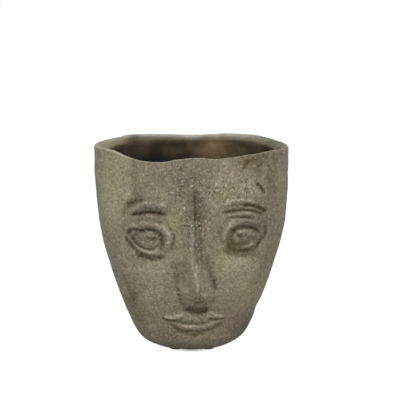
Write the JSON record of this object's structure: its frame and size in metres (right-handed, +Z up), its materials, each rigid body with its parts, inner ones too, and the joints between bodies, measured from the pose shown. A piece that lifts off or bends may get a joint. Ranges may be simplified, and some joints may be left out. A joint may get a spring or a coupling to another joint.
{
  "type": "head planter",
  "caption": "Plant pot cast in cement as a head with a relief face; open crown, drain hole with lift-out stopper, rubber feet.",
  "frame": {"origin": "on the table under the middle of the pot", "axes": "+Z up out of the open crown, -Y where the face looks, +X to the right of somebody who looks at the face"},
  "size_m": [0.1608, 0.1489, 0.1728],
  "materials": {
    "cement": "cast cement, matt, sandy, with pinholes and brown stains",
    "plug_rubber": "moulded black rubber",
    "foot_rubber": "die-cut black rubber"
  },
  "bodies": {
    "planter": {"planter_body": "cement", "rubber_foot_back_right": "foot_rubber", "rubber_foot_back_left": "foot_rubber", "rubber_foot_front_left": "foot_rubber", "rubber_foot_front_right": "foot_rubber"},
    "plug": {"drain_plug": "plug_rubber"}
  },
  "joints": [
    {"name": "drain_plug_lift", "type": "slide", "parent": "planter", "child": "plug", "axis": [0, 0, 1], "range_m": [0, 0.18]}
  ]
}
